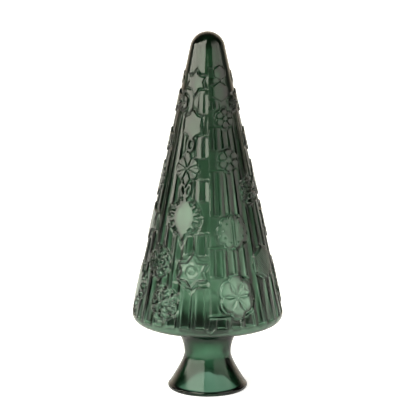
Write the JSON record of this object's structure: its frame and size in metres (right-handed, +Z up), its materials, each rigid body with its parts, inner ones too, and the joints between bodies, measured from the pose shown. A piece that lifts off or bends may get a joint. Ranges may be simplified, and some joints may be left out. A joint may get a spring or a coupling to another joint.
{
  "type": "glass christmas tree ornament",
  "caption": "Hollow green glass tree: a tall cone with fluted flanks and raised snow crystals, standing on a flared hollow foot.",
  "frame": {"origin": "centre of the ring that the foot stands on, at the bottom of the part", "axes": "+Z up along the axis of the cone, -Y towards the viewer of the picture, where the front mould seam lies, +X to the viewer's right"},
  "size_m": [0.125, 0.125, 0.3],
  "materials": {
    "green_glass": "glossy, fire-polished, transparent bottle green",
    "foot_glass": "glossy, smooth, transparent bottle green"
  },
  "bodies": {
    "root": {"tree_body": "green_glass", "foot": "foot_glass"}
  },
  "joints": []
}
